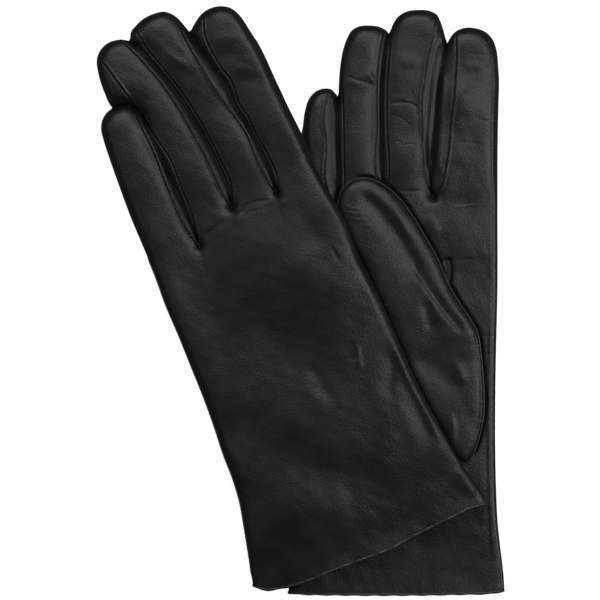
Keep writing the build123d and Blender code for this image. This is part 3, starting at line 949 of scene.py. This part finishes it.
def hem_roll(glove):
    """The slightly uneven roll of leather round the cuff's mouth, pressed together at its two ends."""
    cuff = glove.plan.loop[glove.plan.open_edge]
    high = np.column_stack([cuff, height_at(glove, cuff)])
    low = np.column_stack([cuff, height_at(glove, cuff, False)])
    at = np.arange(len(cuff)) * RIM_STEP
    wave = 0.16 * np.sin(at * 0.42) + 0.1 * np.sin(at * 1.1)
    radius = HEM_ROLL + 0.12 * np.sin(at * 0.73)
    middle = 0.5 * (high + low)
    squeeze = np.minimum(1.0, at / 2.5)
    squeeze = np.minimum(squeeze, squeeze[::-1])[:, None]
    high = middle + (high - middle) * squeeze + [[0, 0, -0.35]]
    low = middle + (low - middle) * squeeze + [[0, 0, 0.55]]
    high[:, 2] += wave
    path = np.concatenate([high, low[::-1]])
    co, tris = tube(path, np.concatenate([radius, radius[::-1]]), 10, closed=True)
    co[:, 2] = np.maximum(co[:, 2], glove.low(co[:, :2]))
    return co, tris


def linings(glove, under):
    """The linings, and the leather turned in at the cuff: (name, part, (points, triangles)) for each."""
    solid, tris, label, d, _, _ = under
    co = solid[:, :2]
    broad = [fold for fold in glove.folds if min(fold[2], fold[3]) > NARROW]
    shrink = ramp(d / 2.5)
    rim, rise, radius, power = glove.lift(co)
    shape = (relief(co, broad) + swelling(co, glove.swells)) * crown(d, 2.0)
    roof = glove.low(co) + rim + (rise - 1.0) * crown(d - 0.6, radius) ** power + shape - 0.5 * shrink
    ground = np.minimum(solid[:, 2] + 0.9 * shrink, roof)
    keep = (d[tris] > 0.8).all(1)
    turned = np.zeros(len(tris), bool)
    if glove.plan.open_edge.any():
        turned = near_cuff(glove, co, HEM_DEEP)[tris].any(1)
    out = []
    for name in np.unique(label):
        for part, mask in (("lining", keep & ~turned), ("hem", keep & turned)):
            chosen = tris[mask & (label == name)]
            if len(chosen):
                points = np.concatenate([np.column_stack([co, ground]), np.column_stack([co, roof])])
                out.append((name, part, (points, np.concatenate([chosen[:, ::-1], chosen + len(co)]))))
    return out


def side_seam(glove):
    """The fine raised seam along the little-finger side, from the cuff to the finger's root."""
    ids = glove.plan.runs["little_edge"]
    line = glove.plan.loop[ids]
    root = glove.hinges["little"][1][1]
    line = line[(line[:, 1] > -125.0) & (line[:, 1] < root)]
    path = np.column_stack([line, glove.low(line) + glove.lift(line)[1]])
    fade = np.minimum(1.0, np.minimum(np.arange(len(path)), np.arange(len(path))[::-1]) / 6.0)
    return tube(path, SIDE_SEAM * np.maximum(fade, 0.1), 7)


def stitches(lines):
    """Short raised stitches along the lines, which are points with their heights."""
    sides = 6
    ring = np.linspace(0, 2 * math.pi, sides, endpoint=False)
    stations = [(-0.5, 0.25), (-0.3, 0.9), (0.0, 1.0), (0.3, 0.9), (0.5, 0.25)]
    skin = wrap(len(stations), sides)[:, ::-1]
    points, tris = [], []
    for line in lines:
        at = smooth_line(line, PITCH)
        along = unit(np.gradient(at, axis=0))
        across = unit(np.cross(along, [0.0, 0.0, 1.0]))
        up = np.cross(across, along)
        for centre, a, c, u in zip(at, along, across, up):
            first = len(points)
            for share, wide in stations:
                for angle in ring:
                    offset = THREAD_R * wide * (math.cos(angle) * c + math.sin(angle) * u)
                    points.append(centre + a * STITCH * share + offset)
            tris += (skin + first).tolist()
            last = len(points) - sides
            tris += [(first, first + k, first + k + 1) for k in range(1, sides - 1)]
            tris += [(last, last + k + 1, last + k) for k in range(1, sides - 1)]
    return np.array(points), np.array(tris)


def finger_of(end_run):
    """The finger on that side of a slit, from a run's name such as slit_little_ring_up."""
    _, before, after, side = end_run.split("_")
    return after if side == "up" else before


def add_stitches(glove):
    """Stitches beside each finger's seams: one piece per finger."""
    for digit in glove.hinges:
        lines = []
        for _, points, end_run in glove.seams:
            if finger_of(end_run) == digit:
                line = shifted(points, BESIDE if end_run.endswith("_up") else -BESIDE)
                line = smooth_line(line, 1.0)[4:-3]
                d = glove.plan.depth(line, np.zeros(len(line), bool))
                lines.append(np.column_stack([line, glove.top(line, d) + 0.02]))
        piece = make_piece(f"{glove.side}_{digit}_stitches", *stitches(lines), THREAD)
        attach(piece, glove, digit)


def add_glove(glove):
    """Every piece of a glove but its thumb."""
    hand = f"{glove.side}_hand"
    pieces, under = build(glove)
    for node, piece in pieces.items():
        attach(piece, glove, node.split("_")[1])
        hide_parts(node)
    hem = [hem_roll(glove)]
    for name, part, (co, tris) in linings(glove, under):
        if part == "hem":
            hem.append((co, tris))
            continue
        node = f"{glove.side}_{name}_lining"
        piece = make_piece(node + "_knit", co, tris, KNIT, "lining")
        attach(piece, glove, name)
        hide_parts(node)
    starts = np.cumsum([0] + [len(co) for co, _ in hem[:-1]])
    co = np.concatenate([co for co, _ in hem])
    tris = np.concatenate([tris + start for (_, tris), start in zip(hem, starts)])
    # The hem roll and side seam take the lighter leather that paints a highlight along them.
    put(hand + "_hem_leather", co, tris, EDGE_PAINTED_HIGHLIGHT, hand, hand + "_hem")
    add_stitches(glove)
    put(hand + "_side_seam_leather", *side_seam(glove), EDGE_PAINTED_HIGHLIGHT, hand, hand + "_side_seam")
    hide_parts(hand + "_index_fold")


for glove in (RIGHT, LEFT):
    add_glove(glove)


# ---------------------------------------------------------------- thumbs

class Thumb(Glove):
    """A folded thumb: a flat closed form, lying over or under a palm."""

    def __init__(self, side, outline, low, lift, folds):
        runs = [("tip", outline)]
        super().__init__(side, "over", "under", runs, [], {}, {"thumb": [(0, 0)]}, low, lift, folds, [])

    def bottom(self, co, d):
        """The under face's height: a little rounder than a hand's."""
        rim = self.lift(co)[0]
        return self.low(co) + rim - rim * crown(d, 4.0)


def right_thumb_low(co):
    return np.full(len(co), 7.9)


def right_thumb_shape(co):
    """The right thumb's lift: see Glove."""
    root = ramp((-6 - co[:, 1]) / 26)
    return 1.9 - 0.9 * root, 3.7 - 0.5 * root, 4.2 - 1.6 * root, 1.0


RIGHT_THUMB_OUTLINE = [
    (16.6, 39), (16.8, 42.5), (17.7, 46), (18.6, 49), (20.6, 51.5), (23.6, 53.5), (27, 54.5),
    (30.6, 54.5), (34.6, 53.1), (39.6, 50.2), (45, 45), (50.4, 37.8), (55.8, 28.8), (61.2, 19.4),
    (64.8, 11.2), (67.5, 5.4), (72, -2.2), (76.9, -9.6), (79.4, -14.4), (80.7, -21.2), (81.5, -28.8),
    (82.2, -37.4), (82.5, -44.6), (82.2, -51.8), (81, -58.5), (79.2, -64.8), (76.8, -70.4), (74.4, -72.8),
    (71.6, -71.6), (63.6, -59.4), (53.4, -41.4), (43.6, -19.7), (34.8, 0.1), (25.8, 19.4), (19, 33),
    (16.6, 39),
]
RIGHT_THUMB_FOLDS = [
    # the hollow that runs down the thumb: dark on its right, with a sharp lit lip on its left
    ([(25, 47.5), (33.0, 42.5), (40.0, 34.5), (46.5, 25), (51.5, 16.5), (56, 9.5)], -0.85, 2.6, 4.2, 8.0),
    ([(50, 16), (57, 6), (62.5, -2), (68.5, -9.5), (73.5, -15)], -0.8, 2.4, 1.4, 6.0),
    ([(55.5, 2), (57, -7), (60.5, -17)], -0.5, 3.4, 2.2, 6.0),
    ([(34, 46), (41.0, 41), (46.5, 33.5), (51, 25)], 0.35, 2.2, 2.6, 6.0),
    ([(50, -22), (57.5, -29), (65.5, -36), (71, -43)], -0.6, 5.0, 5.0, 8.0),
    ([(67.6, -50), (68.8, -57.5), (68.3, -66)], 0.4, 1.1, 1.9, 5.0),
    ([(69, -27), (71.5, -32), (74, -39)], 0.45, 2.4, 2.6, 5.0),
    # crinkles below the tip
    ([(19.5, 43), (23.0, 41), (27, 41.5)], 0.16, 0.8, 0.9, 2.5),
    ([(20, 40), (24.5, 38.5), (29, 39)], 0.14, 0.7, 0.8, 2.5),
    ([(22, 37), (26, 35.8), (31, 36.5)], 0.11, 0.7, 0.8, 2.5),
    ([(25, 34), (29, 33.2), (33, 34)], 0.08, 0.7, 0.8, 2.5),
    ([(26, 49), (31, 49.5), (35, 47)], 0.10, 0.8, 1.2, 2.5),
    # the turned seam at the root
    ([(77, -12), (79.8, -20), (80.8, -29), (81.3, -38), (81.3, -48), (80.3, -57), (78.3, -64), (75.6, -70)],
        0.6, 0.5, 0.6, 5.0),
]
RIGHT_THUMB = Thumb("right", RIGHT_THUMB_OUTLINE, right_thumb_low, right_thumb_shape, RIGHT_THUMB_FOLDS)


def left_thumb_low(co):
    return np.full(len(co), 8.3)


def left_thumb_shape(co):
    """The left thumb's lift: see Glove."""
    return np.full(len(co), 1.7), np.full(len(co), 1.9), np.full(len(co), 4.5), 1.0


# Across and along the turned glove.
LEFT_THUMB_OUTLINE = [
    (25.6, -80), (26.2, -52), (26, 4), (25.6, 22), (23, 31), (17, 33.5), (12.3, 28.5), (8.8, 20),
    (5.5, 8), (5.5, -20), (9, -50), (18, -76), (22.5, -81), (25.6, -80),
]
LEFT_THUMB_FOLDS = [([left_axes(15, 24), left_axes(16, 0), left_axes(17, -40)], -0.4, 2.0, 2.0, 8.0)]
LEFT_THUMB = Thumb("left", [left_axes(*q) for q in LEFT_THUMB_OUTLINE[::-1]], left_thumb_low,
                   left_thumb_shape, LEFT_THUMB_FOLDS)


def add_thumb(thumb):
    """A thumb's two faces, the seam round its edge and its lining."""
    body = f"{thumb.side}_thumb"
    pieces, under = build(thumb)
    for node, piece in pieces.items():
        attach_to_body(piece, body)
        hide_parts(node)
    rim = thumb.plan.loop
    path = np.column_stack([rim, thumb.low(rim) + thumb.lift(rim)[0] + 0.15])
    co, tris = tube(path, THUMB_EDGE, closed=True)
    # The seam round the thumb takes the lighter leather, a painted highlight along its edge.
    put(body + "_edge_leather", co, tris, EDGE_PAINTED_HIGHLIGHT, body, body + "_edge")
    _, _, (co, tris) = linings(thumb, under)[0]
    put(body + "_lining_knit", co, tris, KNIT, body, body + "_lining", "lining")


for thumb in (RIGHT_THUMB, LEFT_THUMB):
    add_thumb(thumb)

QUIRK_OUTLINE = [
    (65.2, 17.6), (66.2, 17.9), (67.4, 16.6), (67.9, 14), (67.4, 11), (66.4, 8.6), (65.4, 9.6), (65.0, 13),
    (65.2, 17.6),
]
THUMB_HOLE = [(63.5, -30), (68, -24), (74, -26), (76.5, -40), (75, -54), (68, -50), (63.5, -30)]
RIGHT_SWING = [(78.6, -15), (80.1, -22), (81.0, -30), (81.7, -40), (81.4, -50), (80.0, -59)]
LEFT_SWING = [left_axes(27.3, -52), left_axes(27.3, -26), left_axes(27.3, 0)]


def quirk():
    """The little teardrop of leather let into the palm beside the thumb, tipped away from the light. Its
    darker leather is painted shade for the shadow in its hollow.
    """
    plan = Plan([("edge", QUIRK_OUTLINE)])
    co, tris, edge = plan.mesh(0.5)
    d = plan.depth(co, edge >= 0)
    z = 5.75 + 0.09 * (co[:, 1] - 8.6) + 0.1 * crown(d, 1.2)
    put("right_quirk_leather", np.column_stack([co, z]), tris, QUIRK_PAINTED_SHADE, "right_hand", "right_quirk")


def gusset(side, line, inward, low, high, width):
    """The leather that joins a folded thumb to its palm, beside the line the thumb swings about."""
    line, inward = smooth_line(line, 1.4), np.array(inward)
    share = np.linspace(0.0, 1.0, 10)
    across = line[:, None] + width * share[None, :, None] * inward
    middle = low + (high - low) * ramp(share)
    thick = 0.22 * np.sin(math.pi * np.clip(share, 0.06, 0.94))
    upper = np.dstack([across, np.broadcast_to(middle + thick, across.shape[:2])])
    under = np.dstack([across, np.broadcast_to(middle - thick, across.shape[:2])])
    ring = np.concatenate([upper, under[:, ::-1]], axis=1)
    rows, sides = ring.shape[:2]
    tris = wrap(rows, sides).tolist()
    for start, way in ((0, 1), ((rows - 1) * sides, -1)):
        tris += [(start, start + k + 1, start + k)[::way] for k in range(1, sides - 1)]
    # The gusset takes the fourchettes' darker leather, a painted shade.
    piece = make_piece(f"{side}_thumb_gusset", ring.reshape(-1, 3), np.array(tris), STRIP_PAINTED_SHADE)
    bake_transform(piece)


def thumb_hole():
    """The seam round the hole in the palm that the thumb is sewn into. It shows with the thumb swung out."""
    line = smooth_line(THUMB_HOLE, 1.0)[:-1]
    path = np.column_stack([line, height_at(RIGHT, line) + 0.05])
    co, tris = tube(path, 0.34, closed=True)
    # The lighter leather paints a highlight along this seam.
    put("right_thumb_hole_seam", co, tris, EDGE_PAINTED_HIGHLIGHT, "right_hand")


quirk()
gusset("right", RIGHT_SWING, (-1, 0), low=7.1, high=8.2, width=6.5)
gusset("left", LEFT_SWING, left_axes(-1, 0), low=12.8, high=11.5, width=5.5)
thumb_hole()


# ---------------------------------------------------------------- stage, light and camera

FLOOR_DROP = 0.0004  # how far the floor is below the frame's zero, in metres
EYE, VIEW = 2.4, 0.27  # height of the camera, and the width it sees on the floor, in metres
# Each light: name, place and size in metres, and power in watts. All point at the middle of the pair.
LIGHTS = [
    ("key", (-0.05, 0.68, 0.85), 0.8, 4.5),
    ("top", (0.75, 0.15, 1.5), 0.7, 5.6),
    ("left", (-0.95, 0.15, 0.95), 0.7, 1.0),
    ("right", (1.3, -0.1, 0.45), 0.5, 3.5),
]


def white_floor():
    """The white that the object is seen against. It throws no light back on the leather."""
    bpy.ops.mesh.primitive_plane_add(size=6.0, location=(0, 0, -FLOOR_DROP))
    floor = bpy.context.object
    floor.name = "floor"
    material = bpy.data.materials.new("white_floor")
    material.use_nodes = True
    shader = material.node_tree.nodes["Principled BSDF"]
    shader.inputs["Base Color"].default_value = (0.5, 0.5, 0.5, 1.0)
    shader.inputs["Roughness"].default_value = 0.9
    shader.inputs["Emission Color"].default_value = (1.0, 1.0, 1.0, 1.0)
    shader.inputs["Emission Strength"].default_value = 0.9
    floor.data.materials.append(material)
    floor.visible_glossy = False
    floor.visible_diffuse = False


def studio():
    """Dim surroundings and soft lights."""
    world = bpy.data.worlds.new("studio")
    bpy.context.scene.world = world
    world.use_nodes = True
    background = world.node_tree.nodes["Background"]
    background.inputs["Color"].default_value = (1.0, 1.0, 1.0, 1.0)
    background.inputs["Strength"].default_value = 0.075
    for name, place, size, power in LIGHTS:
        light = bpy.data.lights.new(name, "AREA")
        light.shape = "SQUARE"
        light.size = size
        light.energy = power
        lamp = bpy.data.objects.new(name, light)
        bpy.context.scene.collection.objects.link(lamp)
        lamp.location = place
        lamp.rotation_euler = (-lamp.location).to_track_quat("-Z", "Y").to_euler()


def camera_above():
    """A camera looking straight down from far enough for a nearly flat view."""
    camera = bpy.data.cameras.new("camera")
    camera.sensor_width = 36.0
    camera.lens = camera.sensor_width * EYE / VIEW
    eye = bpy.data.objects.new("camera", camera)
    bpy.context.scene.collection.objects.link(eye)
    eye.location = (0.0, 0.0, EYE)
    bpy.context.scene.camera = eye
    bpy.context.scene.view_settings.view_transform = "Standard"


white_floor()
studio()
camera_above()
